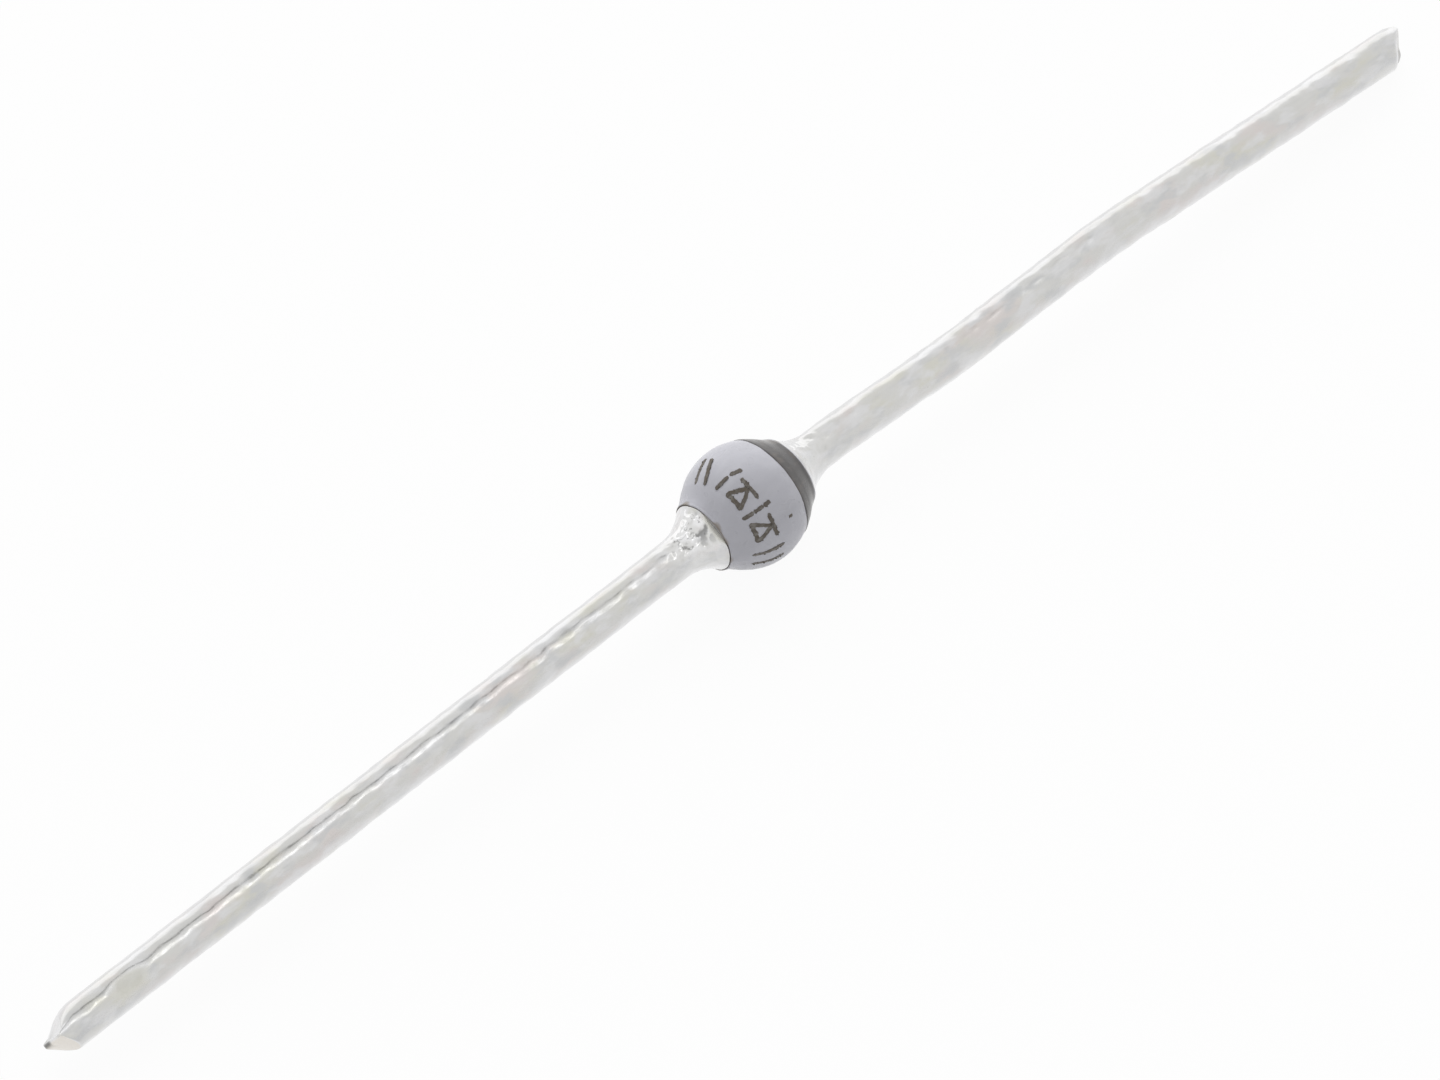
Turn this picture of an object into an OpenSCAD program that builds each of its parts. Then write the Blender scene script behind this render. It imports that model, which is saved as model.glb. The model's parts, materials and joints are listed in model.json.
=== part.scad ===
// Axial rectifier diode: a glass bead sintered round a silicon die that is clamped
// between two molybdenum studs, with a tinned copper lead brazed to each stud.
//
// Every piece is drawn about the bead's own axis, which is +X, with the bead's centre
// at the origin and the cathode on the +X side. seated() then lays the finished diode
// on the floor, on its bead and on the tip of its bent cathode lead.

/* [Glass bead] */
// Diameter of the glass bead at its middle
bead_d = 3.9; // [3.2:0.05:4.6]
// Length of the glass between its two end faces
bead_l = 3.5; // [3.0:0.05:3.8]
// Width of the glass round the lead's head, at each end face
collar_wall = 0.18; // [0.14:0.01:0.35]
// Growth of each collar's radius, from its end face to its inner edge
collar_taper = 0.28; // [0.1:0.01:0.4]
// Length of each collar, from its end face into the bead
collar_l = 0.55; // [0.3:0.05:0.8]

/* [Cathode band] */
// Distance from the bead's middle to the near edge of the painted band
band_x = 0.87; // [0.4:0.01:1.3]
// Thickness of the paint
band_t = 0.03; // [0.02:0.005:0.08]

/* [Junction] */
// Thickness of the silicon die
die_t = 0.3; // [0.15:0.01:0.5]
// Diameter of the die's wide face, on the cathode side
die_d = 1.9; // [1.5:0.05:2.2]
// Diameter of the die's mesa, its narrow face on the anode side
mesa_d = 1.6; // [1.2:0.05:1.85]
// Thickness of the aluminium alloy between the die and each stud
alloy_t = 0.05; // [0.02:0.01:0.1]
// Diameter of the molybdenum studs
stud_d = 2.0; // [1.6:0.05:2.1]
// Thickness of the braze between each stud and its lead
braze_t = 0.06; // [0.02:0.01:0.12]

/* [Leads] */
// Diameter of the lead wire
lead_d = 1.3; // [0.8:0.05:1.5]
// Length of the anode lead outside the glass
anode_l = 26.5; // [24:0.1:40]
// Unrolled length of the cathode lead outside the glass
cathode_l = 26.8; // [24:0.1:40]
// Depth of the lead's flat head in the end of the glass
head_t = 0.1; // [0.04:0.01:0.2]
// Width of the end face that the tinned flare leaves bare
bare_w = 0.05; // [0.02:0.01:0.12]
// Length of the flare, from the glass to the plain wire
flare_l = 1.25; // [0.6:0.05:2]
// Thickness of the rim round the wide end of the flare
rim_t = 0.05; // [0.02:0.01:0.15]

/* [Bends of the cathode lead] */
// Turn at the root, positive upwards
root_turn = -5.0; // [-8:0.1:-1]
// Centre-line radius of the turn at the root
root_r = 12; // [6:0.5:20]
// Straight run between the first two turns
root_run = 3.9; // [2:0.1:6]
// Turn that brings the lead back towards the bead's axis
middle_turn = 4.8; // [1:0.1:8]
// Centre-line radius of the middle turn
middle_r = 20; // [10:0.5:30]
// Straight run between the last two turns
middle_run = 4.8; // [2:0.1:8]
// Last turn, down towards the floor
end_turn = -6.8; // [-8:0.1:-1]
// Centre-line radius of the last turn
end_r = 17; // [8:0.5:30]
// Radius that the wire loses where it bends
bend_neck = 0.005; // [0.003:0.001:0.02]

/* [Cut ends] */
// Angle between the anode lead's axis and each of its two cut facets
anode_cut = 46; // [30:1:75]
// Turn of the anode lead's chisel edge about the axis, from upright
anode_roll = 32; // [-90:1:90]
// Angle between the cathode lead's axis and each of its two cut facets
cathode_cut = 56; // [30:1:75]
// Turn of the cathode lead's chisel edge about the axis, from upright
cathode_roll = -10; // [-90:1:90]
// Width of the flat land left along each chisel edge
land_w = 0.16; // [0.04:0.02:0.4]

/* [Grip mark] */
// Distance from the tip of the anode lead to the middle of the mark
grip_x = 2.8; // [1.5:0.1:12]
// Depth of the mark in the wire
grip_depth = 0.07; // [0.02:0.01:0.15]
// Radius of the jaw that pressed the mark
grip_r = 3; // [1:0.5:8]
// Turn of the mark about the axis, from the top of the wire
grip_roll = 32; // [-90:1:90]

/* [Hidden] */
$fn = 72;

lead_r = lead_d / 2;
collar_d = stud_d + 2 * collar_wall;
flare_d = collar_d - 2 * bare_w;
// Planes across the axis, as distances from the bead's middle
glass_x = bead_l / 2;
head_x = glass_x - head_t;
stud_x = head_x - braze_t;
alloy_x = die_t / 2 + alloy_t;
wire_x = glass_x + flare_l;
// Length by which a bend laps into the straight wire at each of its ends
bend_lap = 0.05;

// Arc of the flare: it touches the wire at wire_x and meets the rim of the flare
flare_rise = (flare_d - lead_d) / 2;
flare_run = flare_l - rim_t;
flare_r = (pow(flare_run, 2) + pow(flare_rise, 2)) / (2 * flare_rise);

// Cathode lead, as unrolled lengths: its last run takes what the bends leave
function arc_l(turn, r) = PI * r * abs(turn) / 180;
end_run = cathode_l - flare_l - root_run - middle_run
    - arc_l(root_turn, root_r) - arc_l(middle_turn, middle_r) - arc_l(end_turn, end_r);

// Steps along the cathode lead in the upright plane through the axis, as [x, z]
function heading(a) = [cos(a), sin(a)];
function arc_step(from, turn, r) = 2 * r * sin(abs(turn) / 2) * heading(from + turn / 2);
middle_heading = root_turn + middle_turn;
end_heading = middle_heading + end_turn;
tip = [wire_x, 0]
    + arc_step(0, root_turn, root_r) + root_run * heading(root_turn)
    + arc_step(root_turn, middle_turn, middle_r) + middle_run * heading(middle_heading)
    + arc_step(middle_heading, end_turn, end_r) + end_run * heading(end_heading);

// Lowest corner of the cathode tip: the underside of the wire, where the cut starts
cut_back = max(0, lead_r * abs(sin(cathode_roll)) - land_w / 2) / tan(cathode_cut);
toe = tip - cut_back * heading(end_heading) + lead_r * heading(end_heading - 90);
// Lift of the bead's axis that lets the bead and the toe share one floor
rest_tilt = asin(-bead_d / 2 / norm(toe)) - atan2(toe[1], toe[0]);

// Lays the diode on the floor, with the bead's lowest point at the origin
module seated() {
    translate([0, 0, bead_d / 2]) rotate([0, -rest_tilt, 0]) children();
}

// Turns what was drawn for the cathode side round to the anode side
module anode_side() {
    mirror([1, 0, 0]) children();
}

// Solid turned about the axis from an outline of [distance from the axis, x] points
module turned() {
    rotate([0, 90, 0]) rotate_extrude() children();
}

// Outline of a disc or a cone from x_near to x_far
module slice(x_near, x_far, d_near, d_far) {
    polygon([[0, x_near], [d_near / 2, x_near], [d_far / 2, x_far], [0, x_far]]);
}

// Outline of both collars, joined through the middle of the bead
module collars_outline(coat) {
    end_r = collar_d / 2 + coat;
    inner_r = end_r + collar_taper;
    inner_x = glass_x - collar_l;
    polygon([[0, -glass_x], [end_r, -glass_x], [inner_r, -inner_x],
             [inner_r, inner_x], [end_r, glass_x], [0, glass_x]]);
}

// Outline of the glass, or of a coat of paint of the given thickness on it
module bead_outline(coat = 0) {
    intersection() {
        union() {
            circle(d = bead_d + 2 * coat, $fn = 180);
            collars_outline(coat);
        }
        translate([0, -glass_x]) square([bead_d, bead_l]);
    }
}

module die_outline() {
    slice(-die_t / 2, die_t / 2, mesa_d, die_d);
}

// Alloy layer on one face of the die
module alloy_outline(d) {
    slice(die_t / 2, alloy_x, d, d);
}

module stud_outline() {
    slice(alloy_x, stud_x, stud_d, stud_d);
}

module braze_outline() {
    slice(stud_x, head_x, stud_d, stud_d);
}

// Flat head of the lead, let into the end of the glass
module head_outline() {
    slice(head_x, glass_x, stud_d, stud_d);
}

// Everything that the glass closes over, from one end face to the other
module sealed_outline() {
    die_outline();
    alloy_outline(die_d);
    mirror([0, 1]) alloy_outline(mesa_d);
    for (side = [0, 1]) mirror([0, side])
        slice(alloy_x, glass_x, stud_d, stud_d);
}

// Flare from the rim on the glass down to the plain wire, in one hollow curve
module flare_outline() {
    translate([0, glass_x]) difference() {
        square([flare_d / 2, flare_l]);
        translate([lead_r + flare_r, flare_l]) circle(r = flare_r, $fn = 180);
    }
}

// Inner end of a lead: its head in the glass and its flare outside
module lead_root() {
    turned() {
        head_outline();
        flare_outline();
    }
}

module straight_wire(run) {
    rotate([0, 90, 0]) cylinder(h = run, r = lead_r);
}

// Straight wire along +X, with the next stretch at its end
module wire_run(run) {
    straight_wire(run);
    translate([run, 0, 0]) children();
}

// Bend in the upright plane, up for a positive turn, with the next stretch at its end.
// It laps into the straight wire on both sides, where its slimmer section stays inside.
module wire_bend(turn, r) {
    lift = turn < 0 ? 1 : 0;
    lap = 180 / PI * bend_lap / r;
    mirror([0, 0, lift]) translate([0, 0, r]) rotate([90, 0, 0])
        rotate_extrude(angle = abs(turn) + 2 * lap, start = -90 - lap, $fn = 720)
            translate([r, 0]) circle(r = lead_r - bend_neck, $fn = 72);
    step = arc_step(0, turn, r);
    translate([step[0], 0, step[1]]) rotate([0, -turn, 0]) children();
}

// Wire that ends in a chisel edge, as side cutters leave it
module cut_wire(run, cut, roll) {
    back = (lead_d - land_w / 2) / tan(cut);
    intersection() {
        straight_wire(run);
        translate([run, 0, 0]) rotate([roll, 0, 0])
            linear_extrude(height = 2 * lead_d, center = true)
                polygon([[0, -land_w / 2], [0, land_w / 2], [-back, lead_d],
                         [-run - 1, lead_d], [-run - 1, -lead_d], [-back, -lead_d]]);
    }
}

// Shallow hollow across the wire, pressed by a rounded jaw
module grip_mark(run) {
    translate([run - grip_x, 0, 0]) rotate([grip_roll, 0, 0])
        translate([0, 0, lead_r - grip_depth + grip_r]) rotate([90, 0, 0])
            cylinder(h = 2 * lead_d, r = grip_r, center = true);
}

module glass_body() {
    color("#b2b2bc") seated() turned() difference() {
        bead_outline();
        sealed_outline();
    }
}

module cathode_band() {
    color("#4c4947") seated() turned() difference() {
        intersection() {
            bead_outline(band_t);
            slice(band_x, glass_x, 2 * bead_d, 2 * bead_d);
        }
        bead_outline();
    }
}

module anode_lead() {
    run = anode_l - flare_l;
    color("#d2d1cd") seated() anode_side() {
        lead_root();
        translate([wire_x, 0, 0]) difference() {
            cut_wire(run, anode_cut, anode_roll);
            grip_mark(run);
        }
    }
}

module cathode_lead() {
    color("#d2d1cd") seated() {
        lead_root();
        translate([wire_x, 0, 0])
            wire_bend(root_turn, root_r)
                wire_run(root_run)
                    wire_bend(middle_turn, middle_r)
                        wire_run(middle_run)
                            wire_bend(end_turn, end_r)
                                cut_wire(end_run, cathode_cut, cathode_roll);
    }
}

module anode_braze() {
    color("#b08a52") seated() anode_side() turned() braze_outline();
}

module cathode_braze() {
    color("#b08a52") seated() turned() braze_outline();
}

module anode_stud() {
    color("#8d9096") seated() anode_side() turned() stud_outline();
}

module cathode_stud() {
    color("#8d9096") seated() turned() stud_outline();
}

module anode_alloy() {
    color("#c9ccd0") seated() anode_side() turned() alloy_outline(mesa_d);
}

module cathode_alloy() {
    color("#c9ccd0") seated() turned() alloy_outline(die_d);
}

module silicon_die() {
    color("#3c4048") seated() turned() die_outline();
}

glass_body();
cathode_band();
anode_lead();
cathode_lead();
anode_braze();
cathode_braze();
anode_stud();
cathode_stud();
anode_alloy();
cathode_alloy();
silicon_die();
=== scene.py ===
"""Axial rectifier diode: a sintered glass bead with a painted cathode band and printed
marks, on two tinned leads with brazed flares and cut ends."""

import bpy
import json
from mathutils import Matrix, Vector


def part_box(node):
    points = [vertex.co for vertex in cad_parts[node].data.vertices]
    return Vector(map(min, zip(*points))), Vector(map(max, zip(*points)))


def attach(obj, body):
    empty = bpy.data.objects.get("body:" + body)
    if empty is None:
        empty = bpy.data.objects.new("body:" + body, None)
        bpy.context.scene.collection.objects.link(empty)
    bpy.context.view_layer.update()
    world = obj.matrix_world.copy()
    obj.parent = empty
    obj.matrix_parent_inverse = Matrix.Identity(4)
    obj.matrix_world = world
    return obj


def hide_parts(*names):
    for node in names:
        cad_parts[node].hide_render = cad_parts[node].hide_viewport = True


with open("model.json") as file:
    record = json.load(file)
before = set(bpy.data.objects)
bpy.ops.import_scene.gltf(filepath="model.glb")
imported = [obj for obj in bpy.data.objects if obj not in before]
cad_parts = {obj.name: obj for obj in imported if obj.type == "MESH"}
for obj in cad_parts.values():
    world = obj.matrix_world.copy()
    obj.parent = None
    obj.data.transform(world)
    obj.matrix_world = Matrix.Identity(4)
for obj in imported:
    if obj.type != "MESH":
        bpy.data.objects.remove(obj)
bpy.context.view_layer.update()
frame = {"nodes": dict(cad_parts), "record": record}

import json
import random
from collections import namedtuple
from math import asin, cos, pi, radians, sin, tan

import bmesh
import bpy
import numpy as np
from mathutils import Matrix, Vector, noise

bl_info = {
    "name": "Axial Rectifier Diode",
    "version": (1, 0, 0),
    "blender": (4, 5, 0),
    "location": "3D View > Sidebar > Diode",
    "description": "Builds the visible surfaces of a glass-bead diode round its packed parts",
    "category": "Object",
}

MM = 0.001
BODY = "root"
MOUNTS = {mount["name"]: mount for mount in frame["record"]["mounts"]}

GLASS_LOW, GLASS_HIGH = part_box("glass_body")
BEAD_DIAMETER = GLASS_HIGH.z - GLASS_LOW.z
WIRE_DIAMETER = 2 * MM * MOUNTS["anode_pin"]["dims"]["r_mm"]
TILT = asin(-MOUNTS["anode_pin"]["axis"][2])
COLLAR_DIAMETER = 2.36 * MM
# The glass's box is longer than the bead, because the bead leans by the tilt
BEAD_LENGTH = (GLASS_HIGH.x - GLASS_LOW.x - COLLAR_DIAMETER * sin(TILT)) / cos(TILT)
# The bead's own frame: +X runs along its axis to the cathode, and it rests on the floor
SEATED = Matrix.Translation((0, 0, BEAD_DIAMETER / 2)) @ Matrix.Rotation(-TILT, 4, "Y")


# ---- Properties


def length(name, description, size_mm):
    """A property that holds a length."""
    return bpy.props.FloatProperty(
        name=name, description=description, default=size_mm * MM, min=0, precision=5,
        unit="LENGTH",
    )


def angle(name, description, degrees):
    """A property that holds an angle."""
    return bpy.props.FloatProperty(
        name=name, description=description, default=radians(degrees), precision=3, subtype="ANGLE"
    )


def colour(name, description, value):
    """A property that holds a scene-linear colour."""
    return bpy.props.FloatVectorProperty(
        name=name, description=description, default=value, min=0, max=1, subtype="COLOR"
    )


class DiodeSizes(bpy.types.PropertyGroup):
    """Sizes of the bead, the leads and the print"""

    bead_d: length("Bead diameter", "Widest diameter of the glass", BEAD_DIAMETER / MM)
    bead_l: length("Bead length", "Length of the glass between its end faces", BEAD_LENGTH / MM)
    bore_d: length("Bore diameter", "Diameter of the sealed hollow in the glass", 2.0)
    collar_d: length("Collar diameter", "Diameter of each end face", COLLAR_DIAMETER / MM)
    collar_taper: length("Collar taper", "Growth of the collar's radius", 0.28)
    collar_l: length("Collar length", "Length of each collar", 0.55)
    collar_blend: length("Collar blend", "Softness where collar meets bead", 0.16)
    band_x: length("Band place", "Distance from the middle to the band", 0.87)
    band_t: length("Band thickness", "Thickness of the paint", 0.03)
    ink_t: length("Ink thickness", "Height of the print above the glass", 0.007)
    wire_d: length("Wire diameter", "Diameter of the lead wire", WIRE_DIAMETER / MM)
    flare_d: length("Flare diameter", "Diameter of the tinned flare's rim", 2.26)
    flare_l: length("Flare length", "Distance from the glass to the plain wire", 1.25)
    rim_t: length("Rim thickness", "Thickness of the flare's rim", 0.05)
    head_t: length("Head thickness", "Depth of the lead's head in the glass", 0.1)
    land_w: length("Land width", "Width of the flat left on each cut edge", 0.16)
    anode_l: length("Anode lead", "Length of the anode lead outside the glass", 26.5)
    cathode_l: length("Cathode lead", "Unrolled length of the cathode lead", 26.8)
    grip_x: length("Grip mark place", "Distance from the tip to the grip mark", 2.8)
    grip_depth: length("Grip mark depth", "Depth of the grip mark", 0.07)
    grip_roll: angle("Grip mark roll", "Turn of the mark from the top of the wire", 32)
    grip_r: length("Jaw radius", "Radius of the jaw that pressed the mark", 3.0)
    anode_cut: angle("Anode cut", "Angle between the axis and the cut facets", 46)
    cathode_cut: angle("Cathode cut", "Angle between the axis and the cut facets", 56)
    anode_roll: angle("Anode roll", "Turn of the anode's cut edge from upright", 32)
    cathode_roll: angle("Cathode roll", "Turn of the cathode's cut edge", -10)


class DiodeFinish(bpy.types.PropertyGroup):
    """Colours of the finishes"""

    glass: colour("Glass", "Opaque lilac grey glass", (0.525, 0.525, 0.572))
    glass_cloud: colour("Glass cloud", "Paler clouds in the glass", (0.575, 0.575, 0.622))
    glass_dark: colour("Dark glass", "Darker clouds in the glass", (0.475, 0.475, 0.515))
    pit: colour("Pit", "Floor of the pits in the glass", (0.33, 0.32, 0.34))
    rim_ring_brown: colour("Rim ring", "Dark brown ring on the glass round the flare's rim", (0.27, 0.235, 0.20))
    band: colour("Band", "Dark grey-brown marking paint", (0.060, 0.055, 0.054))
    band_worn: colour("Worn band", "Thin places in the paint", (0.115, 0.098, 0.088))
    band_dark: colour("Dark band", "Thick places in the paint", (0.05, 0.048, 0.052))
    dust: colour("Dust", "Dust on the paint", (0.24, 0.23, 0.22))
    ink: colour("Ink", "Brown-black printing ink", (0.12, 0.105, 0.088))
    ink_thin: colour("Thin ink", "Ink that covers badly", (0.25, 0.235, 0.215))
    ink_dark: colour("Dark ink", "Thick places in the ink", (0.10, 0.08, 0.055))
    ink_bare: colour("Bare specks", "Specks that the ink left bare", (0.30, 0.29, 0.29))
    tin: colour("Tin", "Bright tin plate", (0.61, 0.607, 0.590))
    tin_warm: colour("Warm tin", "Yellowed patches in the tin", (0.60, 0.592, 0.535))
    tin_grey: colour("Grey tin", "Dull grey patches in the tin", (0.545, 0.55, 0.555))
    tin_light: colour("Light tin", "Bright patches in the tin", (0.67, 0.67, 0.675))
    tin_glint: colour("Tin glint", "Painted highlight on the flares and painted sheen at grazing", (0.845, 0.845, 0.855))
    tin_rose: colour("Rose tin", "Patches where copper shows through", (0.625, 0.58, 0.565))
    draw_line: colour("Draw line", "Grey lines along the drawn wire", (0.52, 0.52, 0.52))
    grip: colour("Grip mark", "Rubbed tin where a jaw held the wire", (0.67, 0.665, 0.62))
    cut: colour("Cut metal", "Copper core smeared over with tin", (0.735, 0.70, 0.65))
    tarnish_and_shade: colour("Tarnish and shade", "Dark film in the pits, painted shade in the flare's hollows and a painted dark reflection on the cut's edge", (0.13, 0.13, 0.125))


class DiodeStage(bpy.types.PropertyGroup):
    """Camera, lamps and floor"""

    azimuth: angle("Camera azimuth", "Turn of the camera round the diode", -44.72)
    elevation: angle("Camera elevation", "Height of the camera over the floor", 49.27)
    distance: length("Camera distance", "Distance from camera to aim point", 379.3)
    lens: bpy.props.FloatProperty(
        name="Lens", description="Focal length, in millimetres", default=317.12, min=1
    )
    aim_right: length("Aim right", "Offset of the bead to the right of the aim", 0.762)
    aim_up: length("Aim up", "Offset of the bead above the aim", 1.052)
    floor_size: length("Floor size", "Side of the square floor", 1600)
    ambient: bpy.props.FloatProperty(
        name="Ambient", description="Level of the room's own light", default=0.5, min=0
    )


# ---- Mesh tools


def smooth_min(a, b, softness):
    """The lesser of a and b, with a rounded corner that is softness wide."""
    overlap = np.maximum(softness - np.abs(a - b), 0) / softness
    return np.minimum(a, b) - overlap * overlap * softness / 4


def ramp(low, high, value):
    """A smooth step from 0 at low to 1 at high."""
    share = np.clip((value - low) / (high - low), 0, 1)
    return share * share * (3 - 2 * share)


# Kinds of unevenness, as (height, wavelength or one for each axis, seed), in mm. The
# band's edges are read on a ring of radius 1. A lead adds its own seed.
RELIEF = {
    "band edge": (0.022, 0.55, 1),
    "band fray": (0.010, 0.16, 2),
    "band far edge": (0.010, 0.3, 8),
    "glass wave": (0.012, 0.9, 3),
    "glass ripple": (0.006, 0.35, 4),
    "glass lip": (0.03, 0.5, 5),
    "stain": (1.0, 0.45, 6),
    "ink edge": (0.023, 0.11, 9),
    "ink fray": (0.012, 0.04, 10),
    "flare ridge": (0.15, (0.42, 0.30, 0.30), 1),
    "flare crease": (0.075, (0.24, 0.15, 0.15), 2),
    "flare lump": (0.06, (0.6, 0.5, 0.5), 3),
    "wire wave": (0.017, (1.1, 0.7, 0.7), 4),
    "wire ripple": (0.017, (0.42, 0.35, 0.35), 5),
    "draw line": (0.0020, (1.6, 0.15, 0.15), 6),
    "shear line": (0.006, (0.5, 0.09, 0.4), 9),
}
# Distance in the noise from one seed to the next
SEED_STEP = 17.3


def relief(kind, places, seed=0):
    """Unevenness of one kind, in mm, at places in mm."""
    height, wavelength, own_seed = RELIEF[kind]
    scaled = places.reshape(-1, 3) / np.asarray(wavelength) + SEED_STEP * (seed + own_seed)
    values = [noise.noise(place) for place in scaled.tolist()]
    return height * np.array(values).reshape(places.shape[:-1])


def quads(rings, around, loop=False):
    """Faces of a tube that has this many rings and points around."""
    rows = np.arange(rings if loop else rings - 1)[:, None]
    columns = np.arange(around)[None, :]
    next_row = (rows + 1) % rings * around
    next_column = (columns + 1) % around
    corners = (
        rows * around + columns,
        rows * around + next_column,
        next_row + next_column,
        next_row + columns,
    )
    return np.stack(corners, axis=-1).reshape(-1, 4).tolist()


def linked(name, data):
    """A new object in the scene."""
    made = bpy.data.objects.new(name, data)
    bpy.context.scene.collection.objects.link(made)
    return made


def flat_mesh(name, corners, material):
    """A mesh of one face."""
    mesh = bpy.data.meshes.new(name)
    mesh.from_pydata(corners, [], [range(len(corners))])
    mesh.materials.append(material)
    return mesh


def make_piece(name, points, faces, material, replaced=()):
    """A smooth mesh piece with outward faces, laid from the bead's frame on the floor."""
    mesh = bpy.data.meshes.new(name)
    mesh.from_pydata([SEATED @ Vector(point) for point in points], [], faces)
    work = bmesh.new()
    work.from_mesh(mesh)
    bmesh.ops.recalc_face_normals(work, faces=work.faces)
    work.to_mesh(mesh)
    work.free()
    mesh.shade_smooth()
    mesh.materials.append(material)
    piece = linked(name, mesh)
    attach(piece, BODY)
    if replaced:
        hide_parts(*replaced)
    return piece


def hold(piece, name, values, kind="FLOAT", field="value"):
    """A value for each point of a piece, which its material reads by name."""
    attribute = piece.data.attributes.new(name, kind, "POINT")
    attribute.data.foreach_set(field, np.asarray(values, np.float32).ravel())


# ---- Shader tools


def feed(tree, socket, value):
    """Links a socket to another one, or sets it to a value."""
    if isinstance(value, bpy.types.NodeSocket):
        tree.links.new(value, socket)
    elif socket.type == "RGBA":
        socket.default_value = (*value[:3], 1)
    else:
        socket.default_value = value


def node(tree, kind, sockets, **settings):
    """A node with its settings, and with its sockets fed by name or number."""
    made = tree.nodes.new(kind)
    for name, value in settings.items():
        setattr(made, name, value)
    for name, value in sockets.items():
        feed(tree, made.inputs[name], value)
    return made


def math_node(tree, operation, first, second):
    """The output of a Math node on sockets or numbers."""
    return node(tree, "ShaderNodeMath", {0: first, 1: second}, operation=operation).outputs[0]


def vector_node(tree, operation, first, second):
    """The output of a Vector Math node on sockets or vectors."""
    made = node(tree, "ShaderNodeVectorMath", {0: first, 1: second}, operation=operation)
    return made.outputs[0]


def tinted(tree, base, mask, tint, amount=1.0):
    """The base colour, with this amount of a tint where the mask is 1."""
    factor = math_node(tree, "MULTIPLY", mask, amount)
    # The colour sockets of a Mix node are its inputs 6 and 7 and its output 2
    made = node(tree, "ShaderNodeMix", {0: factor, 6: base, 7: tint}, data_type="RGBA")
    return made.outputs[2]


def remap(tree, value, low, high, to_low=0.0, to_high=1.0):
    """The output of a clamped Map Range node."""
    ends = {"From Min": low, "From Max": high, "To Min": to_low, "To Max": to_high}
    made = node(
        tree, "ShaderNodeMapRange", {"Value": value, **ends}, interpolation_type="SMOOTHSTEP"
    )
    return made.outputs["Result"]


def noise_value(tree, sockets):
    """The value of a Noise node."""
    return node(tree, "ShaderNodeTexNoise", sockets).outputs["Fac"]


def new_group(name, inputs, outputs):
    """An empty shader group with these sockets, and its input and output nodes."""
    group = bpy.data.node_groups.new(name, "ShaderNodeTree")
    for label, default in inputs.items():
        kind = {1: "Float", 3: "Vector", 4: "Color"}[np.size(default)]
        socket = group.interface.new_socket(label, in_out="INPUT", socket_type="NodeSocket" + kind)
        socket.default_value = default
    for label, kind in outputs.items():
        group.interface.new_socket(label, in_out="OUTPUT", socket_type="NodeSocket" + kind)
    return group, group.nodes.new("NodeGroupInput").outputs, group.nodes.new("NodeGroupOutput")


# Places are given in metres and the groups work in millimetres. Clouds are stretched along
# X, and their two tints lie at different offsets in the noise.
PER_MM = (1 / MM, 1 / MM, 1 / MM)
CLOUD_PER_MM = (0.45 / MM, 1 / MM, 1 / MM)
CLOUD_OFFSETS = {"First": (3.0, 3.0, 3.0), "Second": (11.0, 11.0, 11.0)}
CLOUD_EDGE = (0.47, 0.66)
CLOUD_NOISE = {"Detail": 3.0, "Roughness": 0.55}
GRAIN_ROUGH = 0.6


def clouds_group():
    """Soft clouds that mix three colours over a surface."""
    grey = (0.5, 0.5, 0.5, 1)
    group, given, end = new_group("Clouds", {
        "Vector": (0, 0, 0), "Base": grey, "First Tint": grey, "Second Tint": grey,
        "First Amount": 1.0, "Second Amount": 1.0, "Scale": 1.0,
    }, {"Color": "Color"})
    vector = vector_node(group, "MULTIPLY", given["Vector"], CLOUD_PER_MM)
    base = given["Base"]
    for tint, offset in CLOUD_OFFSETS.items():
        moved = vector_node(group, "ADD", vector, offset)
        cloud = noise_value(group, {"Vector": moved, "Scale": given["Scale"], **CLOUD_NOISE})
        mask = remap(group, cloud, *CLOUD_EDGE)
        base = tinted(group, base, mask, given[tint + " Tint"], given[tint + " Amount"])
    feed(group, end.inputs["Color"], base)
    return group


def grain_group():
    """Grain with a length along X and a width across it, as height and mask."""
    group, given, end = new_group("Grain", {
        "Vector": (0, 0, 0), "Stretch": (1.0, 1.0, 1.0), "Scale": 1.0, "Detail": 3.0,
        "Low": 0.35, "High": 0.65,
    }, {"Height": "Float", "Mask": "Float"})
    vector = vector_node(group, "MULTIPLY", given["Vector"], PER_MM)
    vector = vector_node(group, "MULTIPLY", vector, given["Stretch"])
    sockets = {"Vector": vector, "Scale": given["Scale"], "Detail": given["Detail"]}
    grain = noise_value(group, {**sockets, "Roughness": GRAIN_ROUGH})
    feed(group, end.inputs["Height"], grain)
    feed(group, end.inputs["Mask"], remap(group, grain, given["Low"], given["High"]))
    return group


GROUPS = {"Clouds": clouds_group, "Grain": grain_group}


def place_group(tree, name, vector, **values):
    """A shared group's outputs, with its vector and its other inputs fed by name. The
    group is built the first time that it is asked for."""
    group = bpy.data.node_groups.get(name) or GROUPS[name]()
    sockets = {label.replace("_", " "): value for label, value in values.items()}
    made = node(tree, "ShaderNodeGroup", {"Vector": vector, **sockets}, node_tree=group)
    return made.outputs


def new_material(name, **values):
    """A material with a Principled BSDF whose constants are set on its own sockets."""
    material = bpy.data.materials.new(name)
    material.use_nodes = True
    tree = material.node_tree
    shader = tree.nodes["Principled BSDF"]
    for label, value in values.items():
        feed(tree, shader.inputs[label.replace("_", " ")], value)
    return material, tree, shader


def own_places(tree):
    """The piece's own coordinates, in metres along the bead's axis and across it."""
    return tree.nodes.new("ShaderNodeTexCoord").outputs["Object"]


def held(tree, name, output="Fac"):
    """What a piece holds for each of its points under this name."""
    return node(tree, "ShaderNodeAttribute", {}, attribute_name=name).outputs[output]


# Range of a grain's height over which a roughness changes
GRAIN_RANGE = (0.3, 0.7)


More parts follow.
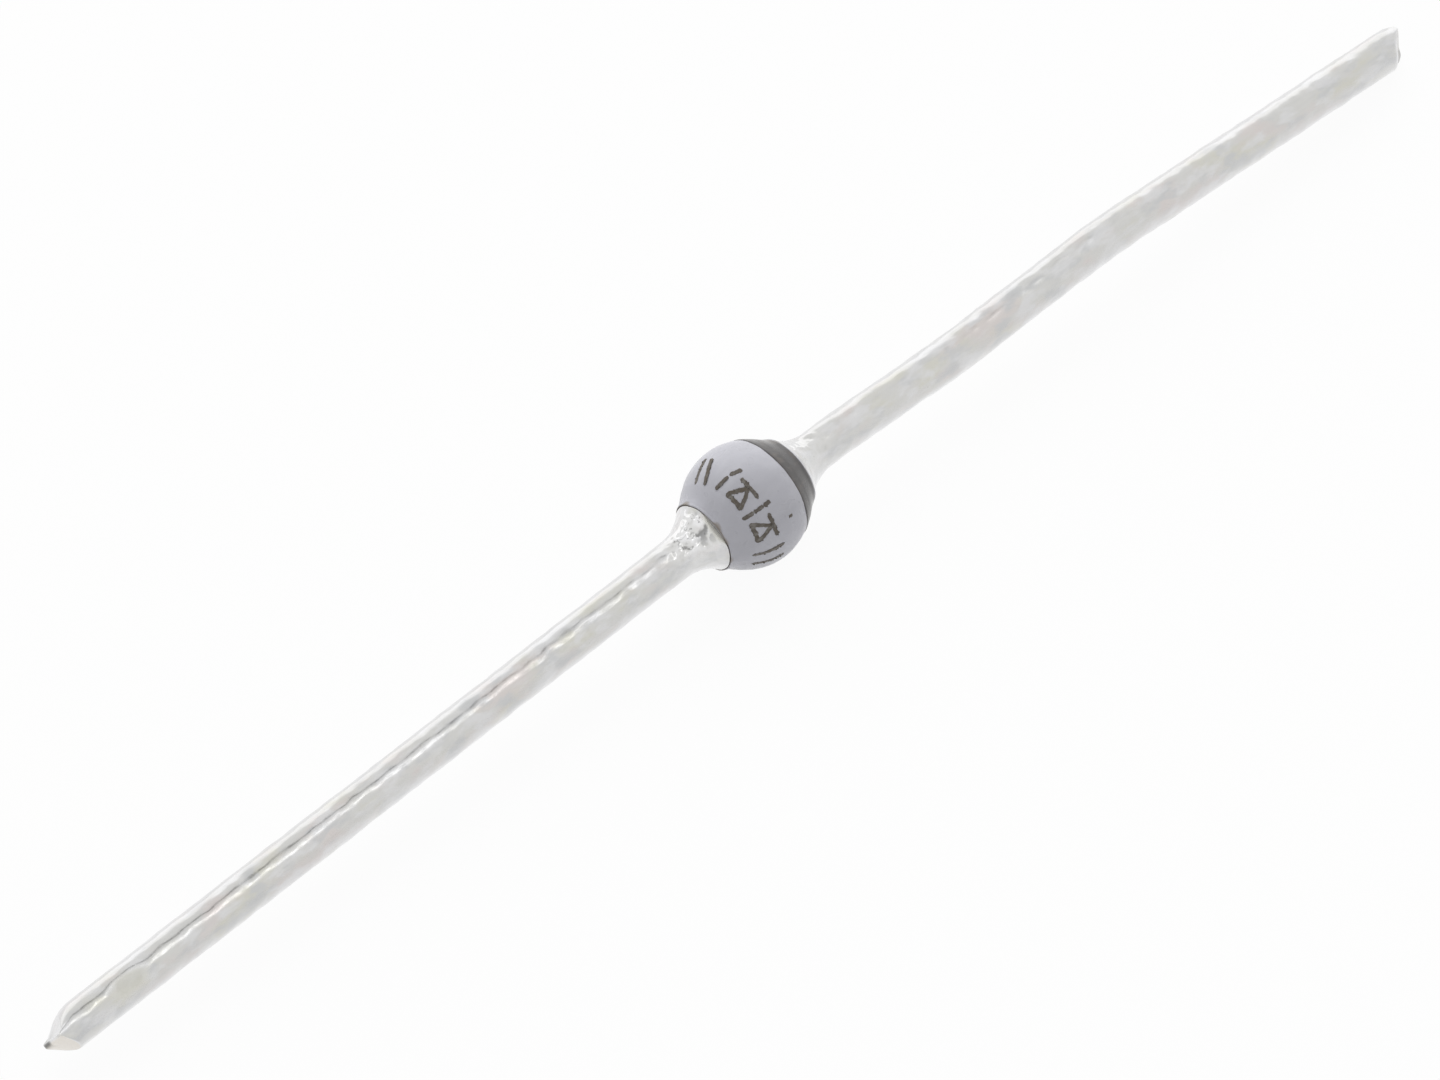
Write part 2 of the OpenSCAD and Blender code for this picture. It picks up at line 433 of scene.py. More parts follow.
def roughness(tree, grain, low, high):
    """A roughness that follows a grain's height."""
    return remap(tree, grain["Height"], *GRAIN_RANGE, low, high)


def link_surface(tree, shader, base, rough, layers):
    """Links a colour, a roughness and bumps as (height, distance in mm) layers."""
    feed(tree, shader.inputs["Base Color"], base)
    feed(tree, shader.inputs["Roughness"], rough)
    under = {}
    for height, distance in layers:
        sockets = {"Strength": 1.0, "Distance": distance * MM, "Height": height, **under}
        under = {"Normal": node(tree, "ShaderNodeBump", sockets).outputs["Normal"]}
    feed(tree, shader.inputs["Normal"], under["Normal"])


def mix_shaders(tree, share, first, second, output):
    """Links two shader nodes to an output node, with this share of the second."""
    sockets = {0: share, 1: first.outputs[0], 2: second.outputs[0]}
    mix = node(tree, "ShaderNodeMixShader", sockets)
    feed(tree, tree.nodes[output].inputs["Surface"], mix.outputs[0])


# ---- Materials


def glass_material(finish):
    """Opaque sintered glass: satin gloss, faint clouds, fine pits, a dark brown ring round each
    flare's rim.
    """
    material, tree, shader = new_material("Bead glass", IOR=1.52)
    vector = own_places(tree)
    clouds = place_group(
        tree, "Clouds", vector, Base=finish.glass, First_Tint=finish.glass_cloud,
        Second_Tint=finish.glass_dark, First_Amount=0.7, Second_Amount=0.5, Scale=0.9,
    )
    pits = place_group(tree, "Grain", vector, Scale=16.0, Detail=2.0, Low=0.66, High=0.78)
    satin = place_group(tree, "Grain", vector, Scale=38.0, Detail=2.0)
    waves = place_group(tree, "Grain", vector, Scale=1.7, Detail=1.0)
    base = tinted(tree, clouds["Color"], pits["Mask"], finish.pit, amount=0.35)
    # Dark brown ring on the glass round each flare's rim
    base = tinted(tree, base, held(tree, "stain"), finish.rim_ring_brown)
    link_surface(tree, shader, base, roughness(tree, waves, low=0.27, high=0.36), [
        (waves["Height"], 0.010), (satin["Height"], 0.0012),
        (math_node(tree, "SUBTRACT", 1.0, pits["Mask"]), 0.004),
    ])
    return material


def band_material(finish):
    """Gloss marking paint with brush waves and thin worn places."""
    material, tree, shader = new_material("Band paint", IOR=1.62)
    vector = own_places(tree)
    waves = place_group(tree, "Grain", vector, Scale=2.2, Detail=2.0, Stretch=(1.4, 1.0, 1.0))
    worn = place_group(
        tree, "Clouds", vector, Base=finish.band, First_Tint=finish.band_worn,
        Second_Tint=finish.band_dark, First_Amount=0.75, Second_Amount=0.6, Scale=2.3,
    )
    dust = place_group(tree, "Grain", vector, Scale=24.0, Detail=2.0, Low=0.62, High=0.75)
    base = tinted(tree, worn["Color"], dust["Mask"], finish.dust, amount=0.12)
    link_surface(tree, shader, base, roughness(tree, waves, low=0.16, high=0.26), [
        (waves["Height"], 0.006), (dust["Height"], 0.001),
    ])
    return material


def ink_material(finish):
    """Stamped ink that covers unevenly."""
    material, tree, shader = new_material("Marking ink", IOR=1.45)
    vector = own_places(tree)
    cover = place_group(
        tree, "Clouds", vector, Base=finish.ink, First_Tint=finish.ink_thin,
        Second_Tint=finish.ink_dark, First_Amount=0.8, Second_Amount=0.8, Scale=7.0,
    )
    specks = place_group(tree, "Grain", vector, Scale=30.0, Detail=2.0, Low=0.6, High=0.72)
    base = tinted(
        tree, cover["Color"], specks["Mask"], finish.ink_bare, amount=0.5
    )
    rough = roughness(tree, specks, low=0.4, high=0.6)
    link_surface(tree, shader, base, rough, [(specks["Height"], 0.003)])
    return material


def tin_material(finish):
    """Tinned copper wire: draw lines, pits, tinted patches, painted shade in the flare's hollows, a
    painted dark reflection on the cut's edge, painted highlights on the flare's lumps and a painted
    sheen at grazing angles.
    """
    material, tree, shader = new_material("Tinned copper", Metallic=1.0)
    vector = held(tree, "straight", "Vector")
    fresh, cut, hollow, dull = (held(tree, name) for name in ("fresh", "cut", "hollow", "dull"))
    clouds = place_group(
        tree, "Clouds", vector, Base=finish.tin, First_Tint=finish.tin_warm,
        Second_Tint=finish.tin_rose, First_Amount=1.0, Second_Amount=0.8, Scale=1.25,
    )
    worn = place_group(
        tree, "Clouds", vector, Base=clouds["Color"], First_Tint=finish.tin_grey,
        Second_Tint=finish.tin_light, First_Amount=0.9, Second_Amount=0.8, Scale=2.0,
    )
    lines = place_group(tree, "Grain", vector, Scale=7.0, Detail=3.0, Stretch=(0.09, 1.0, 1.0))
    crystals = place_group(tree, "Grain", vector, Scale=5.0, Detail=4.0, Stretch=(0.6, 1.0, 1.0))
    pits = place_group(tree, "Grain", vector, Scale=11.0, Detail=3.0, Low=0.70, High=0.80)
    # Painted sheen: the tin's colour turns lighter towards grazing angles, standing in for
    # reflected light
    facing = tree.nodes.new("ShaderNodeLayerWeight").outputs["Facing"]
    edge = remap(tree, facing, low=0.15, high=0.95, to_high=0.85)
    drawn = remap(tree, lines["Height"], low=0.4, high=0.7, to_high=0.14)
    base = worn["Color"]
    for mask, tint, amount in (
        (drawn, finish.draw_line, 1.0),
        (pits["Mask"], finish.tarnish_and_shade, 0.30),
        # Painted highlight: lighter tin on the flare's lump tops and its upper wrinkled side
        (fresh, finish.tin_glint, 1.0),
        # Painted sheen at grazing angles
        (edge, finish.tin_glint, 1.0),
        (cut, finish.cut, 1.0),
        # Painted shade in the flare's hollows and painted dark reflection on the cut's edge, both
        # held in hollow
        (hollow, finish.tarnish_and_shade, 1.0),
        (dull, finish.grip, 0.8),
    ):
        base = tinted(tree, base, mask, tint, amount)
    dull_rise = math_node(tree, "MULTIPLY", dull, 0.45)
    glint_rough_drop = math_node(tree, "MULTIPLY", fresh, 0.16)
    rough = math_node(tree, "ADD", roughness(tree, crystals, low=0.15, high=0.25), dull_rise)
    rough = math_node(tree, "SUBTRACT", rough, glint_rough_drop)
    link_surface(tree, shader, base, rough, [
        (lines["Height"], 0.002), (crystals["Height"], 0.003),
        (math_node(tree, "SUBTRACT", 1.0, pits["Mask"]), 0.004),
    ])
    return material


# How much rougher an inner piece gets from one grain to the next
INNER_SPREAD = 0.12


def inner_material(name, base, tint, metallic, rough_low):
    """A plain cut finish for a piece that the glass covers."""
    material, tree, shader = new_material(name, Metallic=metallic)
    vector = own_places(tree)
    clouds = place_group(
        tree, "Clouds", vector, Base=base, First_Tint=tint, Second_Tint=base,
        First_Amount=0.8, Second_Amount=0.0, Scale=2.0,
    )
    rings = place_group(tree, "Grain", vector, Scale=12.0, Detail=2.0, Stretch=(6.0, 1.0, 1.0))
    rough = roughness(tree, rings, rough_low, rough_low + INNER_SPREAD)
    link_surface(
        tree, shader, clouds["Color"], rough, [(rings["Height"], 0.003)]
    )
    return material


# ---- Bead


AROUND_BEAD = 224
TURN_BEAD = np.linspace(0, 2 * pi, AROUND_BEAD, endpoint=False)
# Pocket of the die in the hollow: half lengths of die and pocket, and its two radii
DIE_HALF, POCKET_HALF, DIE_WIDE, DIE_NARROW = 0.15 * MM, 0.2 * MM, 0.95 * MM, 0.8 * MM
# Least radius of the plain ball, which the collar covers
BALL_LEAST = 0.3 * MM
# Rings of the shell, and the share of its half length that they cover between the lips
SHELL_RINGS, SHELL_SHARE = 150, 0.973
# Lip of glass that rose round the flare, as mm beyond the end face and mm beyond the
# flare's rim or the collar's edge, and its share of the glass's waves
LIP_AT_RIM = ((0.0, -0.02), (-0.030, 0.006), (-0.012, 0.020), (0.014, 0.030), (0.020, 0.044))
LIP_AT_EDGE = ((0.006, 0.010), (-0.022, 0.022))
LIP_WAVES = 0.5
# Dark brown ring round each flare's rim: least and added width in mm, lift of its noise, full share
# of its width, and how much less it reaches along the bead
RIM_RING_WIDTH, RIM_RING_ADDED, RIM_RING_LIFT, RIM_RING_CORE, RIM_RING_ALONG = 0.045, 0.11, 0.25, 0.35, 0.8
# Paint: rings, distance from the end face, width over which its edge rounds off, and how
# deep its edge and its underside lie in the glass
BAND_RINGS, BAND_END, BAND_ROLL = 44, 0.012 * MM, 0.07 * MM
BAND_SUNK, BAND_UNDER = 0.006 * MM, 0.02 * MM


def bead_radius(sizes, along):
    """Radius of the glass at distances along its axis."""
    ball = sizes.bead_d / 2
    sphere = np.sqrt(np.maximum(ball * ball - along * along, BALL_LEAST ** 2))
    inward = np.clip((sizes.bead_l / 2 - np.abs(along)) / sizes.collar_l, 0, 1)
    collar = sizes.collar_d / 2 + sizes.collar_taper * inward
    return -smooth_min(-sphere, -collar, sizes.collar_blend)


def bead_places(along, radius, turn=TURN_BEAD):
    """Places on the bead for a distance, a radius and a turn from the top towards -Y."""
    return np.stack((along, -radius * np.sin(turn), radius * np.cos(turn)), axis=-1)


def glass_waves(places):
    """Rise of the sintered glass over its plain shape, at places on the bead."""
    return (relief("glass wave", places / MM) + relief("glass ripple", places / MM)) * MM


def glass_piece(sizes, material):
    """The glass shell, from one end's lip over the bead to the other and back inside."""
    end = sizes.bead_l / 2
    rim = sizes.flare_d / 2
    lip = [(out * MM, rim + rise * MM) for out, rise in LIP_AT_RIM]
    lip += [(out * MM, sizes.collar_d / 2 + rise * MM) for out, rise in LIP_AT_EDGE]
    outer = end * np.sin(np.linspace(-1, 1, SHELL_RINGS) * asin(SHELL_SHARE))
    # Each ring's distance, its radius, and its share of the glass's waves
    profile = [(-end - out, radius, LIP_WAVES) for out, radius in lip]
    profile += [(x, float(bead_radius(sizes, x)), 1.0) for x in outer]
    profile += [(end + out, radius, LIP_WAVES) for out, radius in reversed(lip)]
    bore = sizes.bore_d / 2
    profile += [
        (end, bore, 0), (POCKET_HALF, bore, 0), (POCKET_HALF, DIE_WIDE, 0),
        (DIE_HALF, DIE_WIDE, 0), (-DIE_HALF, DIE_NARROW, 0), (-POCKET_HALF, DIE_NARROW, 0),
        (-POCKET_HALF, bore, 0), (-end, bore, 0),
    ]
    along, radius, share = (np.array(row)[:, None] + 0 * TURN_BEAD for row in zip(*profile))
    places = bead_places(along, radius)
    radius = radius + share * glass_waves(places)
    on_lip = (share == LIP_WAVES) * MM
    along = along + np.sign(along) * on_lip * relief("glass lip", places / MM)
    places = bead_places(along, radius)
    glass = make_piece(
        "glass_bead", places.reshape(-1, 3), quads(len(profile), AROUND_BEAD, loop=True),
        material, ["glass_body"],
    )
    # A dark brown ring of uneven width on the glass round each flare's rim
    noise_share = np.clip(relief("stain", places / MM) + RIM_RING_LIFT, 0, 1)
    width = RIM_RING_WIDTH + RIM_RING_ADDED * noise_share
    from_rim = np.hypot(radius - rim, (np.abs(along) - end) * RIM_RING_ALONG) / MM
    hold(glass, "stain", (1 - ramp(RIM_RING_CORE * width, width, from_rim)) * (share > 0))


def band_piece(sizes, material):
    """The painted band, a thin coat with an uneven rounded edge on both sides."""
    ring = np.stack((0 * TURN_BEAD, np.cos(TURN_BEAD), np.sin(TURN_BEAD)), axis=-1)
    near = sizes.band_x + (relief("band edge", ring) + relief("band fray", ring)) * MM
    far = sizes.bead_l / 2 - BAND_END + relief("band far edge", ring) * MM
    share = (1 - np.cos(np.linspace(0, pi, BAND_RINGS))) / 2
    along = near + (far - near) * share[:, None]
    roll = np.clip(np.minimum(along - near, far - along) / BAND_ROLL, 0, 1)
    coat = sizes.band_t * np.sqrt(np.maximum(1 - (1 - roll) ** 2, 0))
    top = bead_radius(sizes, along) + coat - BAND_SUNK
    under = bead_radius(sizes, along[::-1]) - BAND_UNDER
    places = bead_places(np.concatenate((along, along[::-1])), np.concatenate((top, under)))
    make_piece(
        "band_coat", places.reshape(-1, 3), quads(len(places), AROUND_BEAD, loop=True),
        material, ["cathode_band"],
    )


# Strokes of the print, as (distance along the axis in mm, turn in degrees) points.
# They are plain marks: two diode symbols between pairs and rows of short bars.
STROKES = [
    [(-1.16, -35), (-0.46, -40)],
    [(-1.12, -20), (-0.42, -30)],
    [(-1.06, -3), (-0.70, -1)],
    [(-0.54, 0), (-0.28, 3)],
    [(-1.02, 11), (-1.02, 31), (-0.52, 21), (-1.02, 11)],
    [(-0.46, 11), (-0.46, 31)],
    [(-1.08, 42), (-0.86, 42)],
    [(-0.74, 42), (-0.52, 42)],
    [(-0.40, 42), (-0.28, 42)],
    [(-1.02, 52), (-1.02, 72), (-0.52, 62), (-1.02, 52)],
    [(-0.46, 52), (-0.46, 72)],
    [(-1.16, 91), (-0.34, 88)],
    [(-1.14, 108), (-0.32, 104)],
]
STROKE_W = 0.125
# Speck of ink, as one short stroke
SPECK = [(0.137, 64.7), (0.197, 65.016)]
SPECK_W = 0.09
# The print is laid out on a cylinder with this share of the bead's radius
PRINT_SHARE = 0.93
# Grid that the ink is cut from, in mm, how many steps of it move onto the ink's edge, and
# the least steepness that such a move allows for
PRINT_STEP = 0.0145
EDGE_STEPS = 1.1
STEEP_LEAST = 0.3


def distance_to(place, start, end):
    """Distances from places to the line from start to end."""
    run = end - start
    share = np.clip(((place - start) @ run) / max(run @ run, 1e-9), 0, 1)
    return np.linalg.norm(place - start - share[..., None] * run, axis=-1)


def ink_depth(place, lines, width):
    """Depth of each place outside the ink, below 0 inside, with an uneven edge."""
    nearest = np.min([distance_to(place, *line) for line in lines], axis=0)
    flat = np.concatenate((place, 0 * place[..., :1]), axis=-1)
    return nearest - width / 2 + (relief("ink edge", flat) + relief("ink fray", flat))


def print_piece(sizes, material):
    """The printed marks, as thin raised ink that follows the glass."""
    mean_r = sizes.bead_d / 2 / MM * PRINT_SHARE
    points = []
    faces = []

    def inked(lines, width):
        """Adds the ink round these lines, cut from a fine grid along its edge."""
        ends = np.concatenate(lines)
        low = ends.min(axis=0) - 2 * width
        counts = ((ends.max(axis=0) + 2 * width - low) / PRINT_STEP).astype(int) + 1
        steps = np.meshgrid(np.arange(counts[0]), np.arange(counts[1]), indexing="ij")
        grid = low + PRINT_STEP * np.stack(steps, axis=-1)
        depth = ink_depth(grid, lines, width)
        middle = (depth[:-1, :-1] + depth[1:, :-1] + depth[:-1, 1:] + depth[1:, 1:]) / 4
        slope = np.stack(np.gradient(depth, PRINT_STEP), axis=-1)
        steepness = np.maximum(np.sum(slope * slope, axis=-1), STEEP_LEAST)
        move = np.where(np.abs(depth) < EDGE_STEPS * PRINT_STEP, depth / steepness, 0)
        grid = grid - slope * move[..., None]
        numbers = {}
        for i, j in np.argwhere(middle < 0):
            corners = [(i, j), (i + 1, j), (i + 1, j + 1), (i, j + 1)]
            for corner in corners:
                if corner not in numbers:
                    numbers[corner] = len(points)
                    points.append(grid[corner])
            faces.append([numbers[corner] for corner in corners])

    for stroke, width in [(line, STROKE_W) for line in STROKES] + [(SPECK, SPECK_W)]:
        bent = np.array([(x, radians(turn) * mean_r) for x, turn in stroke])
        inked(list(zip(bent[:-1], bent[1:])), width)
    flat = np.array(points)
    along = flat[:, 0] * MM
    turn = flat[:, 1] / mean_r
    radius = bead_radius(sizes, along)
    radius = radius + sizes.ink_t + glass_waves(bead_places(along, radius, turn))
    places = bead_places(along, radius, turn)
    marks = make_piece("print_marks", places, faces, material)
    shell = marks.modifiers.new("Ink thickness", "SOLIDIFY")
    shell.thickness = 3 * sizes.ink_t
    shell.offset = -1


# ---- Leads


AROUND_WIRE = 112
TURN_WIRE = np.linspace(0, 2 * pi, AROUND_WIRE, endpoint=False)
# Bends of the cathode lead, as (turn in degrees, radius, straight run after it)
CATHODE_BENDS = ((-5.0, 12 * MM, 3.9 * MM), (4.8, 20 * MM, 4.8 * MM), (-6.8, 17 * MM, 0))
# What sets the leads apart: seed, rounder side of the cut, lean of its other facet, shares
# of the relief on wire and flare, bare copper on the cut, bends
Lead = namedtuple("Lead", "seed round_side lean uneven uneven_flare bare bends")
LEADS = {
    "anode": Lead(20, -1, 0.19, 0.8, 1.0, 1.0, ()),
    "cathode": Lead(40, 1, 0.0, 1.0, 0.3, 0.25, CATHODE_BENDS),
}
# Rim of the flare, as mm beyond the glass and mm beyond the rim's radius
FLARE_LIP = ((0.001, -0.03), (0.004, -0.008), (0.014, 0.002), (0.030, 0.004))
# Rings of the flare, which crowd towards its rim, and rings before and across the cut
FLARE_RINGS, FLARE_CROWD = 74, 1.15
CUT_RINGS, CUT_CROWD = 26, 0.85
# Step of the plain wire's rings, and the gaps that they leave to the flare and to the cut
WIRE_STEP, FLARE_GAP, CUT_GAP = 0.055 * MM, 0.05 * MM, 0.25 * MM
# Shares of the wire's radius of the rings across the cut
CUT_SHARES = np.concatenate(([0.985], np.linspace(0.955, 0.04, CUT_RINGS)))[:, None]
# Where the relief sets in, and the flare's own sets in and fades, in mm from the glass
SKIN_IN, FLARE_IN, FLARE_OUT = (0.0, 0.06), (0.03, 0.2), (0.9, 1.9)
# Wrinkled side of the flare: its turn, its width, and the share of the wrinkles elsewhere
WRINKLE_TURN, WRINKLE_WIDTH, WRINKLE_REST = radians(12), radians(42), 0.15
# Lift of the lumps, depths that get painted shade and heights that get a painted highlight, in mm,
# with shares
LUMP_LIFT = 0.057
HOLLOW_DEPTHS, HOLLOW_SHARE = (0.030, 0.055), 0.8
BRIGHT_HEIGHTS, BRIGHT_LEAST = (-0.02, 0.03), 0.35
GLINT_REST, GLINT_FACING = 0.2, 0.6
# Dents: number, least distances from glass and tip, ranges of length, width, depth, in mm
DENTS, DENT_MARGINS = 16, (1.6, 1.2)
DENT_LENGTH, DENT_WIDTH, DENT_DEPTH = (0.10, 0.45), (0.08, 0.22), (0.006, 0.020)
# Cut: least half width and softness of its edge, added softness of its rounder and its
# other facet, in mm, where that sets in from the edge, and the squeeze before the tip
EDGE_LEAST, FACET_ROUND = 0.012, (0.62, 0.03)
ROUND_FROM, SQUEEZE_FROM, SQUEEZE_FULL = (0.04 * MM, 0.3 * MM), 1.6 * MM, 0.9 * MM
# Grip mark: softness of its edge, and the depth at which its metal is fully dull
GRIP_SOFT, GRIP_DULL = 0.09 * MM, 0.05 * MM
# Humps on the cut's edge, as place along it, length, width and reach beyond the tip, in
# mm, how far the burr drops, and where the shaping of the end sets in before the tip
BURR, PEAK = (-0.44, 0.22, 0.20, 0.10), (0.60, 0.06, 0.10, -0.04)
BURR_DROP, END_FROM, END_FULL = 0.03 * MM, 0.8 * MM, 0.1 * MM
# Painted dark reflection on the cut's edge: width, where along the edge it sets in, in mm, and
# share
EDGE_WIDTH, EDGE_FROM, EDGE_SHARE = 0.09, (0.06, 0.26), 0.85
# Chamfers of the cathode's end, as side, depth and where it sets in, in mm
CHAMFERS = ((1, 0.17, (0.08, 0.40)), (-1, 0.07, (0.15, 0.40)))
# Softness of the border of the bare copper, and the angle from which an edge is sharp
BARE_EDGE, SHARP_ANGLE = 0.05 * MM, radians(38)


def turned(first, second, angle):
    """Two parts at right angles, in a frame that is turned by this angle."""
    return (
        first * cos(angle) + second * sin(angle), second * cos(angle) - first * sin(angle)
    )


def turn_from(middle):
    """The turn of each point round the wire from this one, the short way."""
    return np.angle(np.exp(1j * (TURN_WIRE - middle)))


def follow_bends(start, bends, along):
    """Places in the upright plane and headings at distances along a bent lead."""
    # A place is a complex number, with X as its real and Z as its imaginary part
    place = along + 0j
    heading = 0 * along
    corner = start + 0j
    begin = start
    before = 0.0
    for turn, radius, run in bends:
        turn = radians(turn)
        arc = radius * abs(turn)
        part = np.clip((along - begin) / arc, 0, 1) * turn
        past = np.maximum(along - begin - arc, 0)
        chord = 2 * radius * np.sin(np.abs(part) / 2) * np.exp(1j * (before + part / 2))
        bent = corner + chord + past * np.exp(1j * (before + part))
        place = np.where(along >= begin, bent, place)
        heading = np.where(along >= begin, before + part, heading)
        corner += 2 * radius * sin(abs(turn) / 2) * np.exp(1j * (before + turn / 2))
        before += turn
        corner += run * np.exp(1j * before)
        begin += arc + run
    return place.real, place.imag, heading


def root_outline(sizes):
    """Distances and radii of the lead's head and flare, up to the plain wire."""
    end = sizes.bead_l / 2
    rim = sizes.flare_d / 2
    wire = sizes.wire_d / 2
    bore = sizes.bore_d / 2
    head = [(end - sizes.head_t, bore / 2), (end - sizes.head_t, bore), (end, bore)]
    lip = [(end + out * MM, rim + rise * MM) for out, rise in FLARE_LIP]
    rise = rim - wire
    run = sizes.flare_l - sizes.rim_t
    arc_r = (run * run + rise * rise) / (2 * rise)
    along = end + sizes.rim_t + run * np.linspace(0, 1, FLARE_RINGS) ** FLARE_CROWD
    radius = wire + arc_r - np.sqrt(arc_r ** 2 - (end + sizes.flare_l - along) ** 2)
    return head + lip + list(zip(along.tolist(), radius.tolist()))


def lead_rings(sizes, tip, cut, roll):
    """Distances along and radii of a straight lead, up to its cut and across it."""
    wire = sizes.wire_d / 2

    def cut_at(share):
        """Where the cut meets the wire, at this share of its radius."""
        side = np.abs(np.sin(TURN_WIRE - roll) * wire * share)
        return tip - np.maximum(side - sizes.land_w / 2, 0) / tan(cut)

    plain_from = sizes.bead_l / 2 + sizes.flare_l + FLARE_GAP
    plain = np.arange(plain_from, tip - (wire / tan(cut) + CUT_GAP), WIRE_STEP)
    outline = root_outline(sizes) + [(x, wire) for x in plain]
    along, radius = (np.array(row)[:, None] + 0 * TURN_WIRE for row in zip(*outline))
    share = np.linspace(0, 1, CUT_RINGS)[1:-1, None]
    closing = plain[-1] + (cut_at(1) - plain[-1]) * share ** CUT_CROWD
    along = np.concatenate((along, closing, cut_at(CUT_SHARES)))
    radius = np.concatenate((radius, wire + 0 * closing, wire * CUT_SHARES + 0 * TURN_WIRE))
    on_cut = np.zeros_like(along)
    on_cut[-len(CUT_SHARES):] = 1
    return along, radius, on_cut


def lead_relief(own, places, x, on_cut, wire, length_mm):
    """Height of the relief in mm, at x mm from the glass, with the painted shade in its hollows and
    the painted highlights on its lump tops."""
    kinds = ("flare ridge", "flare crease", "flare lump", "wire wave", "wire ripple", "draw line")
    ridge, crease, lump, wave, ripple, drawn = (relief(kind, places, own.seed) for kind in kinds)
    skin = ramp(*SKIN_IN, x) * (1 - on_cut)
    facing = np.exp(-((turn_from(WRINKLE_TURN) / WRINKLE_WIDTH) ** 2))
    on_flare = ramp(*FLARE_IN, x) * (1 - ramp(*FLARE_OUT, x))
    wrinkled = on_flare * (WRINKLE_REST + (1 - WRINKLE_REST) * facing) * own.uneven_flare
    lumps = LUMP_LIFT - np.abs(ridge) - np.abs(crease) + lump
    height = skin * ((wave + ripple) * own.uneven + drawn) + wrinkled * lumps
    # Painted shade: the deepest hollows of the flare's wrinkles, on its wrinkled side, get a dark
    # colour
    hollow = wrinkled * facing * ramp(*HOLLOW_DEPTHS, -lumps) * HOLLOW_SHARE
    # Painted highlight: the flare's lump tops, most of all on its upper wrinkled side, get a
    # lighter colour
    bright = BRIGHT_LEAST + (1 - BRIGHT_LEAST) * ramp(*BRIGHT_HEIGHTS, lumps)
    fresh = on_flare * bright * (GLINT_REST + GLINT_FACING * facing) * own.uneven_flare
    draw = random.Random(own.seed)
    for _ in range(DENTS):
        dent_x = draw.uniform(DENT_MARGINS[0], length_mm - DENT_MARGINS[1])
        away = turn_from(draw.uniform(-pi, pi)) * wire / MM
        size_x = draw.uniform(*DENT_LENGTH)
        size_turn = draw.uniform(*DENT_WIDTH)
        depth = draw.uniform(*DENT_DEPTH)
        dent = np.exp(-((x - dent_x) / size_x) ** 2 - (away / size_turn) ** 2)
        height = height - skin * depth * dent
    return height, hollow, fresh


def squeezed(sizes, own, tip, cut, along, over, aside):
    """Parts across the cut's edge, squeezed in towards its two facets."""
    rounder = aside * own.round_side > 0
    leaning = np.where(aside * own.round_side < 0, own.lean * over, 0)
    facet = sizes.land_w / 2 + np.maximum(tip - along, 0) * tan(cut) - leaning
    facet = np.maximum(facet, EDGE_LEAST * MM)
    width = np.abs(aside)
    soft = EDGE_LEAST + np.where(rounder, *FACET_ROUND) * ramp(*ROUND_FROM, width)
    near_tip = ramp(tip - SQUEEZE_FROM, tip - SQUEEZE_FULL, along)
    narrow = width * (1 - near_tip) + smooth_min(width, facet, soft * MM) * near_tip
    return np.sign(aside) * narrow


def pressed(sizes, along, tip, over):
    """Upward parts of a lead's surface after a round jaw has marked it near the tip."""
    centre = sizes.wire_d / 2 - sizes.grip_depth + sizes.grip_r
    away = np.clip(along - (tip - sizes.grip_x), -sizes.grip_r / 2, sizes.grip_r / 2)
    jaw = centre - np.sqrt(sizes.grip_r ** 2 - away ** 2)
    marked = smooth_min(over, jaw, GRIP_SOFT)
    return marked, ramp(0, GRIP_DULL, over - marked)


def end_hump(over, aside, hump):
    """A hump of height 1 on the cut's edge, and its reach."""
    place, long, wide, reach = hump
    height = np.exp(-((over / MM - place) / long) ** 2 - (aside / MM / wide) ** 2)
    return height, reach * height


